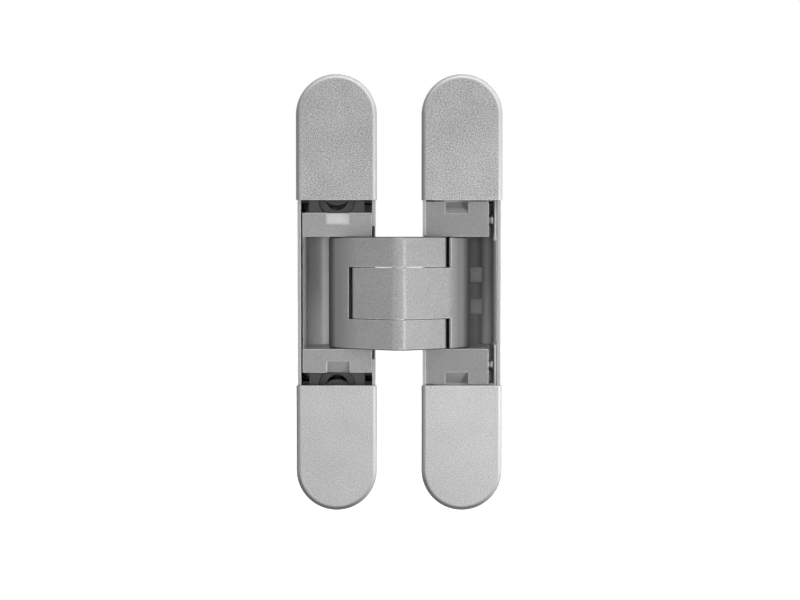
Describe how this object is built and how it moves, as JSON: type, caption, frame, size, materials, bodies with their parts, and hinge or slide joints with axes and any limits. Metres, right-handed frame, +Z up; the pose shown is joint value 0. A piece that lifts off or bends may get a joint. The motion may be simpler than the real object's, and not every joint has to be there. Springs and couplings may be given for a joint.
{
  "type": "concealed door hinge",
  "caption": "Concealed door hinge: two rounded leaves with pockets, joined by interlaced folding arms on pins and curved guide grooves, with height, depth and lateral adjustment.",
  "frame": {"origin": "centre of the frame leaf on the back face of its flange, which seats on the wood, midway between its two fixing holes", "axes": "+X across to the door leaf when open, +Y into the wood, +Z up along the leaf"},
  "size_m": [0.0633, 0.0395, 0.134],
  "materials": {
    "satin_paint": "satin, fine metallic speckle",
    "arm_paint": "satin, fine metallic speckle",
    "cast_metal": "smooth matt",
    "cradle_metal": "smooth matt",
    "housing_metal": "satin",
    "dark_steel": "blackened, lightly oiled",
    "steel": "turned, lightly oiled",
    "bush_polymer": "matt"
  },
  "bodies": {
    "frame_leaf": {"frame_housing": "housing_metal", "frame_cover_top": "satin_paint", "frame_cover_bottom": "satin_paint", "frame_clamp_screw_top": "dark_steel", "frame_clamp_screw_bottom": "dark_steel"},
    "frame_carriage": {"frame_carriage": "cast_metal", "frame_pivot_pin": "steel"},
    "tongue_arm": {"tongue_arm": "arm_paint", "tongue_pivot_bush": "bush_polymer", "elbow_bush": "bush_polymer", "door_slider_pin": "steel", "door_slider_rollers": "bush_polymer"},
    "fork_arm": {"fork_arm": "arm_paint", "elbow_pin": "steel", "fork_pivot_bushes": "bush_polymer", "frame_slider_pin": "steel", "frame_slider_rollers": "bush_polymer"},
    "door_blocks": {"door_block_top": "cast_metal", "door_block_bottom": "cast_metal", "door_pivot_pin": "steel"},
    "door_cradle": {"door_cradle": "cradle_metal", "door_clamp_screw_top": "dark_steel", "door_clamp_screw_bottom": "dark_steel"},
    "depth_screw_top": {"depth_screw_top": "steel"},
    "depth_screw_bottom": {"depth_screw_bottom": "steel"},
    "door_leaf": {"door_housing": "housing_metal", "door_cover_top": "satin_paint", "door_cover_bottom": "satin_paint"},
    "lateral_screw_top": {"lateral_screw_top": "dark_steel"},
    "lateral_screw_bottom": {"lateral_screw_bottom": "dark_steel"}
  },
  "joints": [
    {"name": "height_adjust", "type": "slide", "parent": "frame_leaf", "child": "frame_carriage", "axis": [0, 0, 1], "range_m": [-0.003, 0.003]},
    {"name": "tongue_pivot", "type": "hinge", "parent": "frame_carriage", "child": "tongue_arm", "pos_m": [0.0082, 0, 0], "axis": [0, 0, -1], "range_deg": [0, 115.84]},
    {"name": "elbow_pivot", "type": "hinge", "parent": "tongue_arm", "child": "fork_arm", "pos_m": [0.01925, -0.0102, 0], "axis": [0, 0, -1], "range_deg": [-51.68, 0]},
    {"name": "door_pivot", "type": "hinge", "parent": "fork_arm", "child": "door_blocks", "pos_m": [0.0303, 0, 0], "axis": [0, 0, -1], "range_deg": [0, 115.85]},
    {"name": "depth_adjust", "type": "slide", "parent": "door_blocks", "child": "door_cradle", "axis": [-1, 0, 0], "range_m": [0, 0.0011]},
    {"name": "lateral_adjust", "type": "slide", "parent": "door_cradle", "child": "door_leaf", "axis": [0, 1, 0], "range_m": [-0.0015, 0.0015]},
    {"name": "depth_screw_top_turn", "type": "hinge", "parent": "door_cradle", "child": "depth_screw_top", "pos_m": [0.0445, 0.003, 0.0226], "axis": [1, 0, 0], "range_deg": [0, 565.81]},
    {"name": "depth_screw_bottom_turn", "type": "hinge", "parent": "door_cradle", "child": "depth_screw_bottom", "pos_m": [0.0445, 0.003, -0.0226], "axis": [1, 0, 0], "range_deg": [0, 565.81]},
    {"name": "lateral_screw_top_turn", "type": "hinge", "parent": "door_leaf", "child": "lateral_screw_top", "pos_m": [0.0385, 0.003, 0.042], "axis": [0, 1, 0], "range_deg": [-720.1, 720.1]},
    {"name": "lateral_screw_bottom_turn", "type": "hinge", "parent": "door_leaf", "child": "lateral_screw_bottom", "pos_m": [0.0385, 0.003, -0.042], "axis": [0, 1, 0], "range_deg": [-720.1, 720.1]}
  ],
  "couplings": [
    {"joint": "elbow_pivot", "follows": "tongue_pivot", "ratio": -0.4461},
    {"joint": "door_pivot", "follows": "tongue_pivot", "ratio": 1},
    {"joint": "depth_screw_top_turn", "follows": "depth_adjust", "rad_per_m": 8976},
    {"joint": "depth_screw_bottom_turn", "follows": "depth_adjust", "rad_per_m": 8976},
    {"joint": "lateral_screw_top_turn", "follows": "lateral_adjust", "rad_per_m": 8377.6},
    {"joint": "lateral_screw_bottom_turn", "follows": "lateral_adjust", "rad_per_m": 8377.6}
  ]
}
